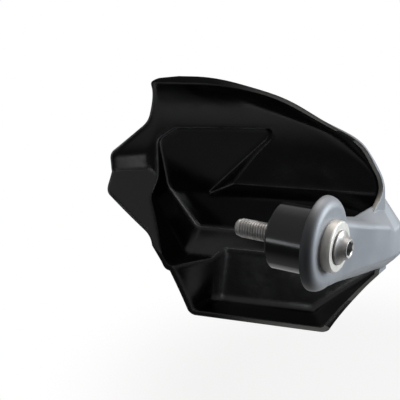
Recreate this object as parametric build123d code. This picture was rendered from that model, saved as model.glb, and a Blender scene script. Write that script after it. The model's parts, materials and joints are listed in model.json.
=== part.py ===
from build123d import *
from math import cos, radians, sin, sqrt, tan
import os

# Motorcycle hand guard for the throttle side. One formed plastic sheet shields the hand: a hood above,
# a tray below, a raised band with a lever pocket between them, and an arm that runs back to a dished boss.
# Frame: origin at the centre of the spacer's inboard face, +X outboard along the bolt, +Y forward, +Z up.

# Sheet
WALL = 3.0
BAR_FALL = 6.0

# Spacer, washer and bolt at the bar's end
SPACER_LENGTH = 31.5
SPACER_RADIUS = 20.5
SPACER_CHAMFER = 1.6
BOLT_RADIUS = 6.0
SHANK_RELIEF = 0.6
BOLT_CLEARANCE = 0.4
FREE_END = 28.0
END_CHAMFER = 1.2
WASHER_RADIUS = 15.7
WASHER_THICKNESS = 5.8
WASHER_CHAMFER = 0.8
HEAD_RADIUS = 10.5
HEAD_HEIGHT = 6.6
HEAD_TOP_RADIUS = 6.0
HEAD_RIM = 1.2
HEAD_DOME = 9.0
SOCKET_WIDTH = 8.0
SOCKET_DEPTH = 4.4

# Boss
BOSS_RADIUS = 29.0
BOSS_DEPTH = 7.0
BOSS_ROUND = 6.4
DISH_CHAMFER = 2.0

# Arm stations: distance ahead of the bolt, top and bottom of the flat, top and bottom of the edge, depth
ARM_STATIONS = (
    (0.0, 16.0, -27.0, 17.0, -28.8, 7.0),
    (20.0, 8.7, -29.5, 10.4, -34.0, 8.1),
    (53.0, -3.3, -33.7, -0.4, -42.7, 10.0),
    (86.0, -15.9, -39.5, -2.7, -50.3, 12.0),
)
ARM_ROUND = 5.0
ARM_SPLAY = 5.0

# Raised band, with heights measured level with the guard
BAND_START = 96.0
CORNER_START = 104.0
CORNER_RADIUS = 16.0
BAND_TOP = -25.5
BAND_BOTTOM = -44.5
BAND_DEPTH = 15.0
BAND_TOP_EDGE = 2.5
BAND_BOTTOM_EDGE = -57.0
BAND_ROUND = 5.0
BAND_PROUD = 12.0
BAND_OPENING = 0.8
FRONT_START = -20.0
FRONT_TOP = -16.3
FRONT_TOP_EDGE = 0.7

# Bend of the inboard end
BEND_AT = -158.0
BEND_AT_TOP = -124.0
BEND_ANGLE = 25.0
BEND_ROUND = 14.0
INBOARD_END = -205.0

# Hood: upright rows (height, start of the outboard corner, that corner's radius), then rows that lean back
# round an arc (angle of lean, start of the corner, radius)
LEAN_START = 14.0
LEAN_RADIUS = 80.0
UPRIGHT_ROWS = (
    (3.0, 16.0, 14.0),
    (8.0, 14.5, 15.0),
)
LEANING_ROWS = (
    (0.0, 10.5, 18.0),
    (10.0, -6.0, 35.0),
    (17.5, -20.0, 48.0),
    (25.0, -42.0, 62.0),
    (33.5, -62.0, 76.0),
    (42.5, -78.0, 92.0),
    (51.0, -92.0, 108.0),
    (61.0, -106.0, 124.0),
)

# Lower tray: its shoulder just under the band's lower edge, then its bottom
TRAY_STEP = 0.8
TRAY_BOTTOM = -95.2
TRAY_LIP_DRAFT = 0.06
TRAY_FRONT_SETBACK = 8.0
TRAY_LEFT = -103.0
TRAY_LEFT_BOTTOM = -109.0
TRAY_LEFT_REAR = -143.0
TRAY_LEFT_REAR_BOTTOM = -121.5
TRAY_RIGHT = 25.5
TRAY_RIGHT_BOTTOM = -25.0
TRAY_RIGHT_REAR_BOTTOM = 5.5
TRAY_RIGHT_ROUND = 7.0
TRAY_BOTTOM_ROUND = 12.0
TRAY_LIP_ROUND = 7.0
TRAY_LIP_TURNS = (30.0, 50.0, 70.0, 90.0)
TRAY_REAR = 60.0

# Lever pocket at the band's inboard end: corners of its face and of its base behind, from the band round
# its heel, which runs on from the band's lower side. Its face leans back above the foot.
POCKET_DEPTH = 22.0
band_fall = (BAND_BOTTOM_EDGE - BAND_BOTTOM) / BAND_DEPTH
heel_low = BAND_BOTTOM + band_fall * POCKET_DEPTH
POCKET_FACE = (
    (-90.0, -30.0),
    (-90.0, BAND_BOTTOM),
    (-131.0, BAND_BOTTOM),
    (-154.5, -14.0),
    (-150.5, 27.0),
    (-131.0, 35.5),
    (-68.0, 38.5),
    (-117.0, -16.0),
    (-112.0, -30.0),
)
POCKET_BASE = (
    (-60.0, -30.0),
    (-60.0, heel_low),
    (-133.0, heel_low),
    (-158.0, -16.0),
    (-154.0, 29.0),
    (-132.0, 41.5),
    (-29.0, 44.0),
    (-84.0, -16.0),
    (-79.0, -30.0),
)
POCKET_ROUNDS = (0, 0, 6, 10, 10, 10, 5, 0, 0)
POCKET_FOOT = -16.0
POCKET_LEAN = 13.2
BAND_END = -125.0

# Trimmed rim: the plane behind it, then the edges of the inboard end (across, height) and beside the arm
# (ahead, height), with the rounding of each corner between the first and the last
RIM = 74.0
REACH = 600.0
INBOARD_EDGE = (
    (-90.0, 82.0),
    (-128.5, 77.5),
    (-151.0, 41.0),
    (-184.0, 17.0),
    (-184.0, -9.0),
    (-146.0, -39.0),
    (-134.0, -60.0),
    (-134.0, -140.0),
)
INBOARD_ROUNDS = (13, 30, 9, 9, 30, 20)
OUTBOARD_FROM = -45.0
OUTBOARD_EDGE = (
    (74.0, 50.0),
    (76.0, 37.0),
    (94.0, 12.0),
    (94.0, 0.0),
    (72.0, -11.0),
    (72.0, -17.0),
    (94.0, -17.0),
    (94.0, -47.0),
    (81.0, -68.0),
    (74.0, -93.0),
)
OUTBOARD_ROUNDS = (16, 9, 12, 2, 2, 3, 10, 30)
FLANGE_EDGE = 24.5

face_x = SPACER_LENGTH + WALL
band_y = CORNER_START + CORNER_RADIUS
front_y = band_y - BAND_PROUD
lean_centre = front_y - LEAN_RADIUS
bolt_hole = BOLT_RADIUS + BOLT_CLEARANCE
seat_x = face_x + WASHER_THICKNESS
lean_rise = [(LEAN_RADIUS * sin(radians(turn)), start, radius) for turn, start, radius in LEANING_ROWS]
hood_rows = [*UPRIGHT_ROWS, *[(LEAN_START + rise, start, radius) for rise, start, radius in lean_rise]]
splay_start = ARM_STATIONS[1][0]
mid_band = (BAND_TOP + BAND_BOTTOM) / 2
tray_shoulder = BAND_BOTTOM + band_fall * BAND_PROUD - TRAY_STEP
band_u = face_x + ARM_SPLAY + mid_band * tan(radians(BAR_FALL))


def level(shape):
    """Turn a form drawn level with the guard to the falling line of the bar."""
    return Rot(0, -BAR_FALL, 0) * shape


def chain_inside(points, distance):
    """Move an open run of plan points inwards, its two ends kept at their own distance ahead."""
    ways = [(Vector(*b) - Vector(*a)).normalized() for a, b in zip(points, points[1:])]
    sides = [Vector(way.Y, -way.X) for way in ways]
    moved = []
    for index, point in enumerate(points):
        before = sides[max(index - 1, 0)]
        after = sides[min(index, len(sides) - 1)]
        moved.append(Vector(*point) + (before + after) * (distance / (1 + before.dot(after))))
    for index, way in ((0, ways[0]), (-1, ways[-1])):
        moved[index] = moved[index] + way * ((points[index][1] - moved[index].Y) / way.Y)
    return [(point.X, point.Y) for point in moved]


def loop(points, radii):
    """A flat face from corner points, each with its own rounding."""
    return make_face(FilletPolyline(*points, radius=radii, close=True))


def hood_section(row, inset, rear):
    """One level section of the hood: bent inboard end, front, outboard corner and side."""
    height, corner_start, corner_radius = row
    rise = max(height - LEAN_START, 0.0)
    front = lean_centre + sqrt(LEAN_RADIUS**2 - rise**2)
    setback = front - lean_centre - sqrt((LEAN_RADIUS - inset) ** 2 - rise**2)
    bend = BEND_AT + (BEND_AT_TOP - BEND_AT) * rise / LEAN_RADIUS
    right = corner_start + corner_radius
    left_y = front - (bend - INBOARD_END) * tan(radians(BEND_ANGLE))
    chain = [(INBOARD_END, left_y), (bend, front), (right, front), (right, rear)]
    return section(chain, height, (BEND_ROUND, corner_radius), setback)


def section(chain, height, rounds, inset, draft=0.0):
    """A level section from its run of plan points, closed straight across the rear."""
    run = chain_inside(chain, inset)
    run.append((run[0][0], run[-1][1]))
    radii = [0] + [rounding - inset for rounding in rounds] + [0, 0]
    return loop([(u, y, height + draft * (y - RIM)) for u, y in run], radii)


def hood(inset):
    """The leaning hood as a plug, lofted through its level sections."""
    return loft([hood_section(row, inset, -RIM) for row in hood_rows])


def tray(inset):
    """The lower tray as a plug: the hood's own plan at the top, drawn in to a narrower rounded bottom."""
    left_end = TRAY_REAR + WALL
    front_low = front_y - TRAY_FRONT_SETBACK
    shoulder = [
        (TRAY_LEFT_REAR, left_end),
        (TRAY_LEFT, front_y),
        (TRAY_RIGHT, front_y),
        (TRAY_RIGHT, TRAY_REAR),
    ]
    bottom = [
        (TRAY_LEFT_REAR_BOTTOM, left_end),
        (TRAY_LEFT_BOTTOM, front_low),
        (TRAY_RIGHT_BOTTOM, front_low),
        (TRAY_RIGHT_REAR_BOTTOM, TRAY_REAR),
    ]

    def lip_section(turn):
        lip_round = TRAY_LIP_ROUND - inset
        setback = inset + lip_round * (cos(radians(TRAY_LIP_TURNS[0])) - cos(radians(turn)))
        floor = TRAY_BOTTOM + inset + lip_round * (1 - sin(radians(turn)))
        return section(bottom, floor, (TRAY_BOTTOM_ROUND, TRAY_BOTTOM_ROUND), setback, TRAY_LIP_DRAFT)

    top_section = hood_section(hood_rows[0], inset, TRAY_REAR)
    shoulder_section = section(shoulder, tray_shoulder, (BEND_ROUND, TRAY_RIGHT_ROUND), inset)
    walls = loft([top_section, shoulder_section, lip_section(TRAY_LIP_TURNS[0])], ruled=True)
    lip = loft([lip_section(turn) for turn in TRAY_LIP_TURNS])
    return walls + lip


def channel(depth, flat_top, flat_bottom, edge_top, edge_bottom, rounding, inset, opening=0.0):
    """Corners and roundings of a bevelled channel: depth in from its face, then height."""
    top_slope = (edge_top - flat_top) / depth
    bottom_slope = (edge_bottom - flat_bottom) / depth
    top_drop = inset * sqrt(1 + top_slope**2)
    bottom_lift = inset * sqrt(1 + bottom_slope**2)
    back = depth + opening
    corners = [
        (back, flat_top + top_slope * back - top_drop),
        (inset, flat_top + top_slope * inset - top_drop),
        (inset, flat_bottom + bottom_slope * inset + bottom_lift),
        (back, flat_bottom + bottom_slope * back + bottom_lift),
    ]
    return corners, (0, rounding - inset, rounding - inset, 0)


def band_channel(flat_top, edge_top, inset):
    """Corners and roundings of the band's section."""
    opening = BAND_OPENING * inset / WALL
    return channel(BAND_DEPTH, flat_top, BAND_BOTTOM, edge_top, BAND_BOTTOM_EDGE, BAND_ROUND, inset, opening)


def band_face(inset):
    """The band's section where it leaves the arm."""
    corners, radii = band_channel(BAND_TOP, BAND_TOP_EDGE, inset)
    return loop([(band_u - depth, BAND_START, height) for depth, height in corners], radii)


def band_front(u, flat_top, edge_top, inset):
    """The band's section across the front, at one place along it."""
    corners, radii = band_channel(flat_top, edge_top, inset)
    return loop([(u, band_y - depth, height) for depth, height in corners], radii)


def band(inset):
    """The raised band, swept round the outboard corner, then rising to its full width across the front."""
    corner_end = band_u - CORNER_RADIUS
    route = Line((band_u, BAND_START, 0), (band_u, CORNER_START, 0))
    route += RadiusArc((band_u, CORNER_START, 0), (corner_end, band_y, 0), -CORNER_RADIUS)
    front = loft(
        [
            band_front(corner_end, BAND_TOP, BAND_TOP_EDGE, inset),
            band_front(FRONT_START, FRONT_TOP, FRONT_TOP_EDGE, inset),
            band_front(BAND_END, FRONT_TOP, FRONT_TOP_EDGE, inset),
        ],
        ruled=True,
    )
    return sweep(band_face(inset), path=route) + front


def arm_face(station, inset):
    """The arm's section at one station, upright and flush with the boss."""
    ahead, flat_top, flat_bottom, edge_top, edge_bottom, depth = station
    corners, radii = channel(depth, flat_top, flat_bottom, edge_top, edge_bottom, ARM_ROUND, inset, inset)
    face = face_x + ARM_SPLAY * max(ahead - splay_start, 0.0) / (BAND_START - splay_start)
    return loop([(face - back, ahead, height) for back, height in corners], radii)


def arm(inset):
    """The arm from the boss to the band's first section, which stands level with the guard."""
    sections = [arm_face(station, inset) for station in ARM_STATIONS]
    sections.append(level(band_face(inset)))
    return loft(sections, ruled=True)


def boss(inset):
    """The dished boss on the bar's end."""
    rear = face_x - BOSS_DEPTH - inset
    disc = extrude(Plane.YZ.offset(rear) * Circle(BOSS_RADIUS - inset), face_x - inset - rear)
    rim = disc.edges().filter_by(GeomType.CIRCLE).sort_by(Axis.X)[-1]
    if inset:
        return chamfer(rim, DISH_CHAMFER)
    return fillet(rim, BOSS_ROUND)


def pocket(inset):
    """The lever pocket as a tapered plug that stands out to the band's face and leans back above it."""
    behind = Pos(0, -inset - REACH / 2, 0) * Box(2 * REACH, REACH, 2 * REACH)
    behind = Pos(0, band_y, POCKET_FOOT) * Rot(POCKET_LEAN, 0, 0) * behind
    sections = []
    for depth in (inset, POCKET_DEPTH, band_y - TRAY_REAR):
        share = min(depth / POCKET_DEPTH, 1.0)
        corners = zip(POCKET_FACE, POCKET_BASE)
        outline = [Vector(*front) + (Vector(*back) - Vector(*front)) * share for front, back in corners]
        run = chain_inside([(corner.X, corner.Y) for corner in outline], inset * sqrt(1 + band_fall**2))
        sections.append(loop([(u, band_y - depth, w) for u, w in run], POCKET_ROUNDS))
    return loft(sections, ruled=True) & behind


def inboard_trim():
    """Everything inboard of the sloping edges that end the hood, the wing and the tray."""
    outline = FilletPolyline(
        *[(u, 0, w) for u, w in INBOARD_EDGE],
        (2 * INBOARD_END, 0, INBOARD_EDGE[-1][1]),
        (2 * INBOARD_END, 0, INBOARD_EDGE[0][1]),
        radius=(0, *INBOARD_ROUNDS, 0, 0, 0),
        close=True,
    )
    return extrude(make_face(outline), REACH, dir=(0, 1, 0))


def outboard_trim():
    """Everything behind the edge that swings forward on both sides of the arm."""
    outline = FilletPolyline(
        *[(OUTBOARD_FROM, y, w) for y, w in OUTBOARD_EDGE],
        (OUTBOARD_FROM, 0, OUTBOARD_EDGE[-1][1]),
        (OUTBOARD_FROM, 0, OUTBOARD_EDGE[0][1]),
        radius=(0, *OUTBOARD_ROUNDS, 0, 0, 0),
        close=True,
    )
    return extrude(make_face(outline), REACH, dir=(1, 0, 0))


def guard_shell():
    """The whole moulding: outer forms, trimmed to the rim, less the same forms one wall smaller."""
    behind_rim = Pos(0, RIM - REACH / 2, 0) * Box(2 * REACH, REACH, REACH)
    body = hood(0) + tray(0) + band(0) + pocket(0)
    body = body - behind_rim - inboard_trim() - outboard_trim()
    inboard_of_flange = level(Pos(FLANGE_EDGE - REACH / 2, REACH / 2, 0) * Box(REACH, REACH, REACH))
    outside = level(body) + (arm(0) - inboard_of_flange) + boss(0)
    ahead_of_boss = Pos(0, REACH / 2 + BOSS_RADIUS + WALL, 0) * Box(2 * REACH, REACH, REACH)
    space = (hood(WALL) & ahead_of_boss) + tray(WALL) + band(WALL) + pocket(WALL)
    inside = level(space) + arm(WALL) + boss(WALL)
    hole = extrude(Plane.YZ * Circle(bolt_hole), face_x + WALL)
    return outside - inside - hole


def bar_end_spacer():
    """The turned sleeve between the bar's end and the boss."""
    sleeve = extrude(Plane.YZ * Circle(SPACER_RADIUS), SPACER_LENGTH)
    sleeve = chamfer(sleeve.edges().filter_by(GeomType.CIRCLE).sort_by(Axis.X)[0], SPACER_CHAMFER)
    return sleeve - extrude(Plane.YZ * Circle(bolt_hole), SPACER_LENGTH)


def bar_end_washer():
    """The thick washer on the boss's outer face."""
    disc = extrude(Plane.YZ.offset(face_x) * Circle(WASHER_RADIUS), WASHER_THICKNESS)
    disc = chamfer(disc.edges().filter_by(GeomType.CIRCLE).sort_by(Axis.X)[-1], WASHER_CHAMFER)
    return disc - extrude(Plane.YZ.offset(face_x) * Circle(bolt_hole), WASHER_THICKNESS)


def bar_end_bolt():
    """The button-head bolt with its hex socket, its threaded end free inboard of the spacer."""
    outline = Polyline(
        (seat_x + HEAD_HEIGHT, HEAD_TOP_RADIUS),
        (seat_x + HEAD_HEIGHT, 0),
        (-FREE_END, 0),
        (-FREE_END, BOLT_RADIUS - END_CHAMFER),
        (END_CHAMFER - FREE_END, BOLT_RADIUS),
        (0, BOLT_RADIUS),
        (0, BOLT_RADIUS - SHANK_RELIEF),
        (seat_x, BOLT_RADIUS - SHANK_RELIEF),
        (seat_x, HEAD_RADIUS),
        (seat_x + HEAD_RIM, HEAD_RADIUS),
    )
    dome = RadiusArc(outline @ 1, outline @ 0, -HEAD_DOME)
    turned = revolve(make_face(outline + dome), Axis.X)
    hexagon = RegularPolygon(SOCKET_WIDTH / 2, 6, major_radius=False)
    return turned - extrude(Plane.YZ.offset(seat_x + HEAD_HEIGHT) * hexagon, -SOCKET_DEPTH)


os.makedirs("parts", exist_ok=True)
export_step(guard_shell(), "parts/guard_shell.step")
export_step(bar_end_spacer(), "parts/bar_end_spacer.step")
export_step(bar_end_washer(), "parts/bar_end_washer.step")
export_step(bar_end_bolt(), "parts/bar_end_bolt.step")
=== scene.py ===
import json
import math

import bmesh
import bpy
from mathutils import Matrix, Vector
from mathutils.bvhtree import BVHTree

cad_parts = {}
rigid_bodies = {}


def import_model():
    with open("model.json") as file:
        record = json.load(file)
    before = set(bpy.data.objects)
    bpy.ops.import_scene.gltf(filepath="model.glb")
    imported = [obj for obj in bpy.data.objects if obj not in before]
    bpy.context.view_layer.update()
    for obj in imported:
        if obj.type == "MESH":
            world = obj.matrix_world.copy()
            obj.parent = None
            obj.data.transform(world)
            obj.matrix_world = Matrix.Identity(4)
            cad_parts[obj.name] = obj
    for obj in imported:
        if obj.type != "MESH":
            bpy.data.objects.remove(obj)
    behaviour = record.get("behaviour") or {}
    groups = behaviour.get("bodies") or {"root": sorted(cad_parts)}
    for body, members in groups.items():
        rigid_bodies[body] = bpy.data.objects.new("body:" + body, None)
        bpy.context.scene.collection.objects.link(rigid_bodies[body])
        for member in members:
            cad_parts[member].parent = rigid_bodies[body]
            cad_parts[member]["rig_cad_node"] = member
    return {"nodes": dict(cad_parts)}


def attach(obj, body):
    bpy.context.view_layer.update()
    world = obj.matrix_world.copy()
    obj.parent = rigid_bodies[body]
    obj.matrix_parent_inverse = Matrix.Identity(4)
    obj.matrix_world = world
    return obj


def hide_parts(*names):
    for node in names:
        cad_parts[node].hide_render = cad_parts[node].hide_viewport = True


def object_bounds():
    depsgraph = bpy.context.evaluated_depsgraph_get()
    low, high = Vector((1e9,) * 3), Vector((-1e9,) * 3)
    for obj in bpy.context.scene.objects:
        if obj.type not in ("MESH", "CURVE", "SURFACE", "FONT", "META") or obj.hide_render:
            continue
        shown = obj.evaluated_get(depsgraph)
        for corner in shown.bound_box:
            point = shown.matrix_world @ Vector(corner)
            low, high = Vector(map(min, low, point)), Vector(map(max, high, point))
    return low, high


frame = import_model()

for spare in [thing for thing in bpy.data.objects if thing.type in {"MESH", "LIGHT", "CAMERA"}]:
    if "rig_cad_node" not in spare:
        bpy.data.objects.remove(spare)
cad_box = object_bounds()
scene = bpy.context.scene


# Guard shell: one formed plastic sheet, trimmed by a cutter and clamped at its dished boss. The outside has
# a satin grey coat, darkened as painted shade where it faces back behind the boss and on the strip by the top
# rim.
# The inside is the sheet's own gloss black with a painted highlight along its creases, and the trimmed edge
# is bare plastic that the coat has misted on the outboard side, made paler there than the coat as a painted
# highlight.
class Wire:
    """An output socket of a material's nodes. Sums on it add Math nodes."""

    def __init__(self, tree, socket=None):
        self.tree = tree
        self.socket = socket

    def add(self, kind, settings, sockets, output=0):
        """A node of this kind: its settings first, then the values or wires of its sockets."""
        node = self.tree.nodes.new(kind)
        for name, value in settings.items():
            setattr(node, name, value)
        for name, value in sockets.items():
            if isinstance(value, Wire):
                self.tree.links.new(value.socket, node.inputs[name])
            else:
                node.inputs[name].default_value = value
        return Wire(self.tree, node.outputs[output] if len(node.outputs) else None)

    def math(self, operation, first, second):
        return self.add("ShaderNodeMath", {"operation": operation}, {0: first, 1: second})

    def __add__(self, other):
        return self.math("ADD", self, other)

    def __radd__(self, other):
        return self.math("ADD", other, self)

    def __sub__(self, other):
        return self.math("SUBTRACT", self, other)

    def __rsub__(self, other):
        return self.math("SUBTRACT", other, self)

    def __mul__(self, other):
        return self.math("MULTIPLY", self, other)

    def __rmul__(self, other):
        return self.math("MULTIPLY", other, self)

    def ramp(self, low, high):
        """The value spread so that low becomes 0 and high becomes 1, held between them."""
        settings = {"interpolation_type": "SMOOTHSTEP"}
        return self.add("ShaderNodeMapRange", settings, {"Value": self, "From Min": low, "From Max": high})

    def along(self, axis):
        """The part of this vector along X, Y or Z."""
        return self.add("ShaderNodeSeparateXYZ", {}, {0: self}, axis)

    def length(self):
        return self.add("ShaderNodeVectorMath", {"operation": "LENGTH"}, {0: self}, "Value")

    def noise(self, scale, detail=2.0, roughness=0.5):
        """Noise over these coordinates, with features of about 1 / scale metres."""
        sockets = {"Vector": self, "Scale": scale, "Detail": detail, "Roughness": roughness}
        return self.add("ShaderNodeTexNoise", {}, sockets)

    def stretched(self, across, along, up):
        """These coordinates drawn out by a factor on each axis."""
        return self.add("ShaderNodeVectorMath", {"operation": "MULTIPLY"}, {0: self, 1: (across, along, up)})

    def tint(self, plain, marked):
        """One colour where this value is 0, the other where it is 1."""
        sockets = {"Factor": self, 6: plain, 7: marked}
        return self.add("ShaderNodeMix", {"data_type": "RGBA"}, sockets, 2)


def new_finish(name):
    """An empty material and the wire of its places on the object, in metres."""
    material = bpy.data.materials.new(name)
    material.use_nodes = True
    material.node_tree.nodes.clear()
    places = Wire(material.node_tree).add("ShaderNodeTexCoord", {}, {}, "Object")
    return material, places


def close_finish(places, sockets):
    """The shader of a finish and its output."""
    surface = places.add("ShaderNodeBsdfPrincipled", {}, sockets)
    places.add("ShaderNodeOutputMaterial", {}, {"Surface": surface})


def rounded_edges(places, radius):
    """The normal with each edge rounded over by this radius."""
    return places.add("ShaderNodeBevel", {"samples": 8}, {"Radius": radius})


def edge_mask(rounded):
    """How near an edge is, from 0 to 1, by how far the rounded normal leaves the plain one."""
    plain = rounded.add("ShaderNodeNewGeometry", {}, {}, "Normal")
    sockets = {0: rounded, 1: plain}
    agreement = rounded.add("ShaderNodeVectorMath", {"operation": "DOT_PRODUCT"}, sockets, "Value")
    return (1 - agreement).ramp(0.01, 0.2)


def bumped(height, depth, normal):
    """The normal roughened by a height that is 0 to 1, over this depth in metres."""
    sockets = {"Height": height, "Distance": depth, "Strength": 1.0, "Normal": normal}
    return height.add("ShaderNodeBump", {}, sockets)


def dress(node, *finishes):
    """Give a CAD node these finishes in place of its own."""
    node.data.materials.clear()
    for finish in finishes:
        node.data.materials.append(finish)


COAT_GREY = (0.265, 0.276, 0.297, 1.0)
COAT_SHADE = (0.232, 0.242, 0.262, 1.0)
COAT_WORN = (0.39, 0.405, 0.43, 1.0)
# painted shade, laid on the coat's back-facing faces behind the boss and on the strip along the top rim
COAT_PAINTED_SHADE = (0.085, 0.088, 0.095, 1.0)
COAT_EDGE_ROUND = 0.001
COAT_GRAIN = 2600.0
COAT_GRAIN_DEPTH = 0.00003
COAT_CLOUDS = 28.0
COAT_SCUFFS = 420.0
# where the painted shade begins and where it is darkest, in the normal's Y and then in metres
SHADE_FACING_BACK = (-0.05, -0.75)
SHADE_FROM_AXIS = (0.037, 0.033)
RIM_SHADE_AHEAD = (0.087, 0.077)
RIM_SHADE_UP = (0.034, 0.046)

satin_coat, places = new_finish("satin_grey_coat")
rounded = rounded_edges(places, COAT_EDGE_ROUND)
fine_grain = places.noise(COAT_GRAIN)
broad_tone = places.noise(COAT_CLOUDS, 3.0).ramp(0.3, 0.7)
scuffs = places.stretched(1.0, 0.25, 1.0).noise(COAT_SCUFFS, 4.0, 0.6).ramp(0.52, 0.72)
wear = edge_mask(rounded) * scuffs * 0.6
worn_coat = wear.tint(broad_tone.tint(COAT_SHADE, COAT_GREY), COAT_WORN)
from_axis = places.stretched(0.0, 1.0, 1.0).length()
# painted shade on the boss's faces that turn backwards, away from the lamps
painted_shade_behind_boss = rounded.along("Y").ramp(*SHADE_FACING_BACK) * from_axis.ramp(*SHADE_FROM_AXIS)
# painted shade on the coat's strip along the top rim, toning down its glancing brightness
painted_shade_by_rim = places.along("Y").ramp(*RIM_SHADE_AHEAD) * places.along("Z").ramp(*RIM_SHADE_UP)
close_finish(places, {
    "Base Color": (painted_shade_behind_boss + painted_shade_by_rim).tint(worn_coat, COAT_PAINTED_SHADE),
    "Metallic": 0.3,
    "Roughness": 0.4 + 0.1 * fine_grain + 0.06 * broad_tone,
    "Normal": bumped(fine_grain, COAT_GRAIN_DEPTH, rounded),
    "Specular IOR Level": 0.25,
})

GLOSS_BLACK = (0.0045, 0.0045, 0.005, 1.0)
GLOSS_HAZE = (0.009, 0.009, 0.0095, 1.0)
GLOSS_EDGE_ROUND = 0.0055
RIPPLES = 95.0
RIPPLE_DEPTH = 0.00006
HAZE_CLOUDS = 34.0
HAIRLINES = 900.0
DUST_SPECKS = 1500.0
# painted highlight: a pale colour laid along the inside creases in place of the lamps' glints
CREASE_HIGHLIGHT = (0.5, 0.5, 0.515, 1.0)
CREASE_WIDTH = 0.003
CREASE_PATCHES = 45.0
CREASE_AHEAD = (0.076, 0.083)

gloss_sheet, places = new_finish("gloss_black_sheet")
ripple = places.noise(RIPPLES, 1.0)
haze = places.noise(HAZE_CLOUDS, 4.0, 0.6).ramp(0.42, 0.7)
hairlines = places.stretched(0.3, 1.0, 1.0).noise(HAIRLINES).ramp(0.6, 0.75)
dust = places.noise(DUST_SPECKS, 1.0).ramp(0.74, 0.8)
crease = edge_mask(rounded_edges(places, CREASE_WIDTH)).ramp(0.05, 0.9)
patchy = 0.3 + 0.7 * places.noise(CREASE_PATCHES).ramp(0.3, 0.6)
# painted highlight along the creases ahead of the rim, broken into patches
painted_crease_highlight = places.along("Y").ramp(*CREASE_AHEAD) * crease * patchy
sheet_colour = (haze * 0.6 + dust * 0.4).tint(GLOSS_BLACK, GLOSS_HAZE)
close_finish(places, {
    "Base Color": painted_crease_highlight.tint(sheet_colour, CREASE_HIGHLIGHT),
    "Metallic": 0.25 * painted_crease_highlight,
    "Roughness": 0.16 + 0.08 * haze + 0.06 * hairlines + 0.1 * dust,
    "Normal": bumped(ripple, RIPPLE_DEPTH, rounded_edges(places, GLOSS_EDGE_ROUND)),
    "Specular IOR Level": 0.45,
})

CUT_BARE = (0.016, 0.0155, 0.015, 1.0)
# the coat's overspray on the trimmed edge, made paler than the coat itself as a painted highlight
CUT_MIST_AND_HIGHLIGHT = (0.62, 0.6, 0.565, 1.0)
CUT_EDGE_ROUND = 0.0026
CUTTER_CHATTER = 700.0
CHATTER_DEPTH = 0.00004
MIST_AND_HIGHLIGHT_ACROSS = (-0.09, -0.01)

cut_edge, places = new_finish("trimmed_edge")
chatter = places.noise(CUTTER_CHATTER, 3.0)
# real overspray on the outboard trimmed edge, paled beyond the coat as a painted highlight
mist_and_highlight = places.along("X").ramp(*MIST_AND_HIGHLIGHT_ACROSS) * (0.85 + 0.3 * chatter)
close_finish(places, {
    "Base Color": mist_and_highlight.tint(CUT_BARE, CUT_MIST_AND_HIGHLIGHT),
    "Roughness": 0.36 + 0.16 * chatter,
    "Normal": bumped(chatter, CHATTER_DEPTH, rounded_edges(places, CUT_EDGE_ROUND)),
    "Specular IOR Level": 0.15,
})

COAT, SHEET, CUT = range(3)
RIM_PLANE = 0.074
RIM_TOLERANCE = 0.0006
BOSS_REACH = 0.0305
ARM_INBOARD = 0.019
ARM_FRONT = 0.0965
ARM_TOP = 0.035
INBOARD_PART = -0.06
TRIM_INBOARD = 0.015
STAND_OFF = 0.0002
HAND_PLACES = [
    Vector((across, ahead, up))
    for across in (-0.11, -0.08, -0.04, 0.0)
    for ahead in (0.05, 0.09)
    for up in (-0.05, -0.02, 0.01)
] + [Vector((-0.145, 0.085, 0.0)), Vector((-0.14, 0.07, 0.02))]

shell = frame["nodes"]["guard_shell"]
dress(shell, satin_coat, gloss_sheet, cut_edge)
sheet = BVHTree.FromPolygons(
    [corner.co for corner in shell.data.vertices], [face.vertices for face in shell.data.polygons]
)


def seen_from_hand(face):
    """Whether this face is open to the space for the hand."""
    start = face.center + face.normal * STAND_OFF
    for place in HAND_PLACES:
        way = place - start
        if way.dot(face.normal) > 0 and sheet.ray_cast(start, way.normalized(), way.length)[0] is None:
            return True
    return False


def finish_of(face):
    """Which of the shell's finishes a face carries."""
    middle, normal = face.center, face.normal
    if math.hypot(middle.y, middle.z) < BOSS_REACH and middle.x > ARM_INBOARD:
        return COAT if normal.x > -0.2 else SHEET
    rim_cut = normal.y < -0.9 and abs(middle.y - RIM_PLANE) < RIM_TOLERANCE
    inboard_cut = abs(normal.y) < 0.01 and middle.x < INBOARD_PART
    faces_back = normal.y < -0.25 and abs(normal.x) < 0.2
    arm_cut = faces_back and middle.x > TRIM_INBOARD and middle.y < ARM_FRONT
    if rim_cut or inboard_cut or arm_cut:
        return CUT
    if middle.x > ARM_INBOARD and middle.y < ARM_FRONT and middle.z < ARM_TOP:
        return COAT if normal.x > 0.02 else SHEET
    return SHEET if seen_from_hand(face) else COAT


for face in shell.data.polygons:
    face.material_index = finish_of(face)


# Bar-end spacer: a turned aluminium sleeve, anodised gloss black. It holds the guard's boss out at its
# distance, and the bolt passes through it and clamps it end to end.
SLEEVE_BLACK = (0.011, 0.0112, 0.012, 1.0)
SLEEVE_RUBBED = (0.05, 0.05, 0.052, 1.0)
SLEEVE_EDGE_ROUND = 0.0006
SLEEVE_TURNING = 1600.0
SLEEVE_TURNING_DEPTH = 0.000002
SLEEVE_BLOTCHES = 60.0
SLEEVE_SCUFFS = 500.0

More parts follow.
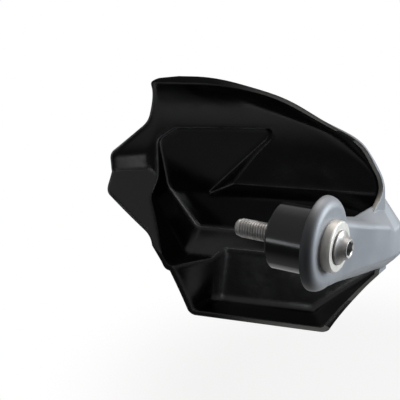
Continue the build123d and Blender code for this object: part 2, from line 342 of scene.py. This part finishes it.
sleeve_finish, places = new_finish("black_anodised_sleeve")
rounded = rounded_edges(places, SLEEVE_EDGE_ROUND)
turning = places.stretched(1.0, 0.02, 0.02).noise(SLEEVE_TURNING)
blotch = places.noise(SLEEVE_BLOTCHES, 3.0).ramp(0.35, 0.7)
rub = edge_mask(rounded) * places.noise(SLEEVE_SCUFFS, 3.0).ramp(0.45, 0.65)
close_finish(places, {
    "Base Color": rub.tint(SLEEVE_BLACK, SLEEVE_RUBBED),
    "Roughness": 0.1 + 0.06 * blotch + 0.05 * turning,
    "Normal": bumped(turning, SLEEVE_TURNING_DEPTH, rounded),
    "Specular IOR Level": 0.45,
})
dress(frame["nodes"]["bar_end_spacer"], sleeve_finish)


# Bar-end washer: a thick aluminium washer, faced and turned bright with a broken outer edge. It spreads
# the bolt's load over the dished boss.
ALLOY = (0.52, 0.505, 0.475, 1.0)
ALLOY_DULL = (0.42, 0.405, 0.38, 1.0)
ALLOY_EDGE_ROUND = 0.0005
ALLOY_RINGS = 4200.0
ALLOY_RING_DEPTH = 0.00002
ALLOY_TARNISH = 150.0

alloy_finish, places = new_finish("turned_aluminium")
from_axis = places.stretched(0.0, 1.0, 1.0).length()
rings = places.add("ShaderNodeTexNoise", {"noise_dimensions": "1D"}, {"W": from_axis, "Scale": ALLOY_RINGS})
tarnish = places.noise(ALLOY_TARNISH, 4.0, 0.6).ramp(0.4, 0.75)
close_finish(places, {
    "Base Color": tarnish.tint(ALLOY, ALLOY_DULL),
    "Metallic": 1.0,
    "Roughness": 0.46 + 0.1 * rings + 0.08 * tarnish,
    "Normal": bumped(rings, ALLOY_RING_DEPTH, rounded_edges(places, ALLOY_EDGE_ROUND)),
})
dress(frame["nodes"]["bar_end_washer"], alloy_finish)


# Bar-end bolt: a stainless button-head screw with a hexagon socket, driven from outside through washer,
# boss and spacer. Its rolled thread stands free at the inboard end.
STEEL = (0.36, 0.35, 0.345, 1.0)
STEEL_DULL = (0.25, 0.245, 0.24, 1.0)
HEAD_SEAT = 0.0403
HEAD_HEIGHT = 0.0066
HEAD_TOP = HEAD_SEAT + HEAD_HEIGHT
HEAD_RADIUS = 0.0105
HEAD_BREAK = 0.0003
HEAD_RIM = 0.0012
HEAD_TOP_RADIUS = 0.006
HEAD_HOLLOW = 0.009
SOCKET_MOUTH = 0.0051
SOCKET_ACROSS = 0.008
SOCKET_LEAD = 0.0005
SOCKET_DEPTH = 0.0044
CONE_DEPTH = 0.0008
CONE_STEP = 0.0006
CONE_TIP = 0.0004
SHANK_RADIUS = 0.0054
FREE_END = -0.028
THREAD_START = 0.003
THREAD_PITCH = 0.00175
CREST_RADIUS = 0.006
ROOT_RADIUS = 0.00507
TIP_CHAMFER = 0.0012
THREAD_BITE = 0.0001
THREAD_RUN_IN = 1.2
THREAD_RUN_OUT = 0.7
THREAD_LEAD = 0.4
THREAD_PROFILE = ((0.0, 0.0), (0.25, 0.0), (0.5625, 1.0), (0.6875, 1.0), (1.0, 0.0))
TURN_STEPS = 48
NECK_STEPS = 10
SHARP_ANGLE = 28
STEEL_EDGE_ROUND = 0.0004
STEEL_BRUSHING = 2400.0
STEEL_BRUSHING_DEPTH = 0.00001
STEEL_STAINS = 260.0


def ring(form, x, radius, hexagon=False):
    """A ring of points round the bolt's axis, round or on a hexagon of this inner radius."""
    points = []
    for step in range(TURN_STEPS):
        turn = 2 * math.pi * step / TURN_STEPS
        reach = radius
        if hexagon:
            reach = radius / math.cos((turn + math.pi / 6) % (math.pi / 3) - math.pi / 6)
        points.append(form.verts.new((x, reach * math.cos(turn), reach * math.sin(turn))))
    return points


def skin(form, rings):
    """Quads between each ring and the next."""
    for near, far in zip(rings, rings[1:]):
        for step in range(TURN_STEPS):
            after = (step + 1) % TURN_STEPS
            form.faces.new((near[step], near[after], far[after], far[step]))


form = bmesh.new()
rings = [
    ring(form, FREE_END, ROOT_RADIUS - TIP_CHAMFER),
    ring(form, FREE_END + TIP_CHAMFER, ROOT_RADIUS),
    ring(form, THREAD_START, ROOT_RADIUS),
    ring(form, THREAD_START, SHANK_RADIUS),
    ring(form, HEAD_SEAT, SHANK_RADIUS),
    ring(form, HEAD_SEAT, HEAD_RADIUS - HEAD_BREAK),
    ring(form, HEAD_SEAT + HEAD_BREAK, HEAD_RADIUS),
]
foot = Vector((HEAD_SEAT + HEAD_RIM, HEAD_RADIUS))
brow = Vector((HEAD_TOP - HEAD_BREAK, HEAD_TOP_RADIUS))
half = (brow - foot).length / 2
inward = Vector((brow.y - foot.y, foot.x - brow.x)).normalized()
for step in range(NECK_STEPS + 1):
    share = step / NECK_STEPS
    sag = math.sqrt(HEAD_HOLLOW**2 - (half * (2 * share - 1)) ** 2) - math.sqrt(HEAD_HOLLOW**2 - half**2)
    rings.append(ring(form, *(foot.lerp(brow, share) + inward * sag)))
socket_floor = HEAD_TOP - SOCKET_DEPTH
rings += [
    ring(form, HEAD_TOP, HEAD_TOP_RADIUS - HEAD_BREAK),
    ring(form, HEAD_TOP, SOCKET_MOUTH),
    ring(form, HEAD_TOP - SOCKET_LEAD, SOCKET_ACROSS / 2, hexagon=True),
    ring(form, socket_floor, SOCKET_ACROSS / 2, hexagon=True),
    ring(form, socket_floor, SOCKET_ACROSS / 2 - CONE_STEP),
    ring(form, socket_floor - CONE_DEPTH, CONE_TIP),
]
skin(form, rings)
form.faces.new(rings[0][::-1])
form.faces.new(rings[-1])

# the thread is one strip wound on the root, which rises and runs out at its ends
thread_turns = int((THREAD_START - FREE_END - TIP_CHAMFER) / THREAD_PITCH)
strip = []
for step in range(thread_turns * TURN_STEPS + 1):
    turn = 2 * math.pi * step / TURN_STEPS
    turns_done = step / TURN_STEPS
    fade = min(1.0, turns_done / THREAD_RUN_IN, (thread_turns - turns_done) / THREAD_RUN_OUT)
    start = FREE_END + TIP_CHAMFER * THREAD_LEAD + THREAD_PITCH * turns_done
    row = []
    for along, height in THREAD_PROFILE:
        reach = ROOT_RADIUS - THREAD_BITE + (CREST_RADIUS - ROOT_RADIUS) * height * fade
        place = (start + along * THREAD_PITCH, reach * math.cos(turn), reach * math.sin(turn))
        row.append(form.verts.new(place))
    strip.append(row)
for near, far in zip(strip, strip[1:]):
    for lower in range(len(near) - 1):
        form.faces.new((near[lower], far[lower], far[lower + 1], near[lower + 1]))
form.faces.new(strip[0])
form.faces.new(strip[-1][::-1])
bmesh.ops.recalc_face_normals(form, faces=form.faces)
bolt_mesh = bpy.data.meshes.new("button_head_bolt")
form.to_mesh(bolt_mesh)
form.free()
bolt_mesh.polygons.foreach_set("use_smooth", [True] * len(bolt_mesh.polygons))
bolt_mesh.set_sharp_from_angle(angle=math.radians(SHARP_ANGLE))

steel_finish, places = new_finish("stainless_steel")
brushing = places.stretched(1.0, 0.15, 0.15).noise(STEEL_BRUSHING, 3.0)
stain = places.noise(STEEL_STAINS, 4.0, 0.6).ramp(0.4, 0.7)
close_finish(places, {
    "Base Color": stain.tint(STEEL, STEEL_DULL),
    "Metallic": 1.0,
    "Roughness": 0.4 + 0.12 * brushing + 0.1 * stain,
    "Normal": bumped(brushing, STEEL_BRUSHING_DEPTH, rounded_edges(places, STEEL_EDGE_ROUND)),
})
bolt = bpy.data.objects.new("button_head_bolt", bolt_mesh)
scene.collection.objects.link(bolt)
bolt_mesh.materials.append(steel_finish)
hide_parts("bar_end_bolt")
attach(bolt, "root")


# Studio: a pale round floor well below the part, which fades into a white surround. A warm soft box hangs
# overhead and a cool one stands ahead on the right. A low card and a near strip put a line of light on the
# turned black sleeve.
PART_MIDDLE = (-0.06, 0.05, -0.01)
FLOOR_DROP = 0.16
FLOOR_AHEAD = 0.3
FLOOR_RADIUS = 0.3
FLOOR_SIDES = 96
FLOOR_FADE = 0.12
FLOOR_PALE = (0.7, 0.7, 0.7, 1.0)
WHITE = (1.0, 1.0, 1.0, 1.0)
SURROUND_LEVEL = 0.035
GLOSS_FLOOR = 0.6
GLOSS_AHEAD = 0.6
GLOSS_BEHIND = 0.045
GLOSS_BELOW = 0.26
GLOSS_OVER = 0.4

floor_form = bmesh.new()
bmesh.ops.create_circle(floor_form, cap_ends=True, segments=FLOOR_SIDES, radius=FLOOR_RADIUS)
floor_mesh = bpy.data.meshes.new("studio_floor")
floor_form.to_mesh(floor_mesh)
floor_form.free()
floor = bpy.data.objects.new("studio_floor", floor_mesh)
floor.location = (PART_MIDDLE[0], FLOOR_AHEAD, cad_box[0].z - FLOOR_DROP)
scene.collection.objects.link(floor)


def rays(start):
    """1 for rays from the camera, for mirrored rays and for rays through clear stuff, in that order."""
    kinds = ("Is Camera Ray", "Is Glossy Ray", "Is Transmission Ray")
    return [start.add("ShaderNodeLightPath", {}, {}, kind) for kind in kinds]


floor_finish, places = new_finish("pale_floor")
camera_ray, glossy_ray, clear_ray = rays(places)
away = places.length().ramp(FLOOR_FADE, FLOOR_RADIUS)
shown = (camera_ray + GLOSS_FLOOR * glossy_ray + clear_ray) * (0.75 + 0.25 * away)
lit = places.add("ShaderNodeBsdfDiffuse", {}, {"Color": FLOOR_PALE})
white = places.add("ShaderNodeEmission", {}, {"Color": WHITE, "Strength": 1.0})
mixed = places.add("ShaderNodeMixShader", {}, {0: shown, 1: lit, 2: white})
places.add("ShaderNodeOutputMaterial", {}, {"Surface": mixed})
floor_mesh.materials.append(floor_finish)

surround = bpy.data.worlds.new("white_surround")
scene.world = surround
surround.use_nodes = True
surround.node_tree.nodes.clear()
sky = Wire(surround.node_tree)
camera_ray, glossy_ray, clear_ray = rays(sky)
direction = sky.add("ShaderNodeTexCoord", {}, {}, "Generated")
height = direction.along("Z")
ahead = direction.along("Y").ramp(0.05, 0.6) * height.ramp(-0.35, 0.25)
behind = GLOSS_BEHIND + GLOSS_BELOW * height.ramp(-0.5, -0.9) + GLOSS_OVER * height.ramp(0.02, 0.15)
mirrored = behind + (GLOSS_AHEAD - behind) * ahead
shown = camera_ray + clear_ray + glossy_ray * mirrored
plain = sky.add("ShaderNodeBackground", {}, {"Color": WHITE, "Strength": SURROUND_LEVEL})
white = sky.add("ShaderNodeBackground", {}, {"Color": WHITE, "Strength": 1.0})
mixed = sky.add("ShaderNodeMixShader", {}, {0: shown, 1: plain, 2: white})
sky.add("ShaderNodeOutputWorld", {}, {"Surface": mixed})


def soft_box(name, place, aim, size, power, colour):
    """A rectangular lamp at a place, turned to face the aim."""
    lamp = bpy.data.lights.new(name, "AREA")
    lamp.color = colour
    lamp.shape = "RECTANGLE"
    lamp.size, lamp.size_y = size
    lamp.energy = power
    box = bpy.data.objects.new(name, lamp)
    box.location = place
    box.rotation_euler = (Vector(aim) - Vector(place)).to_track_quat("-Z", "Y").to_euler()
    scene.collection.objects.link(box)


soft_box(
    "overhead_box",
    place=(0.1, 0.5, 1.1),
    aim=PART_MIDDLE,
    size=(0.9, 0.7),
    power=11.0,
    colour=(1.0, 0.95, 0.89),
)
soft_box(
    "right_box",
    place=(0.95, 0.75, 0.15),
    aim=PART_MIDDLE,
    size=(0.6, 0.7),
    power=19.0,
    colour=(0.9, 0.96, 1.0),
)
soft_box(
    "low_card",
    place=(0.08, -0.55, -0.2),
    aim=(-0.16, 0.1, 0.0),
    size=(0.16, 0.1),
    power=0.08,
    colour=(1.0, 1.0, 1.0),
)
soft_box(
    "left_strip",
    place=(-0.16, -0.31, 0.0),
    aim=(0.0, 0.0, 0.0),
    size=(0.14, 0.055),
    power=0.1,
    colour=(0.93, 0.97, 1.0),
)

CAMERA_PLACE = (0.3039, -0.6208, 0.2665)
CAMERA_ROUND = math.radians(30.0)
CAMERA_DOWN = math.radians(19.5)
CAMERA_LENS = 110.25

camera = bpy.data.cameras.new("photo_camera")
camera.lens = CAMERA_LENS
camera.sensor_width = 36.0
camera.clip_start = 0.01
camera.clip_end = 20.0
viewer = bpy.data.objects.new("photo_camera", camera)
viewer.location = CAMERA_PLACE
level_way = Vector((-math.sin(CAMERA_ROUND), math.cos(CAMERA_ROUND), 0.0))
look = level_way * math.cos(CAMERA_DOWN) - Vector((0.0, 0.0, math.sin(CAMERA_DOWN)))
viewer.rotation_euler = look.to_track_quat("-Z", "Y").to_euler()
scene.collection.objects.link(viewer)
scene.camera = viewer
scene.view_settings.view_transform = "Standard"

bpy.context.view_layer.update()
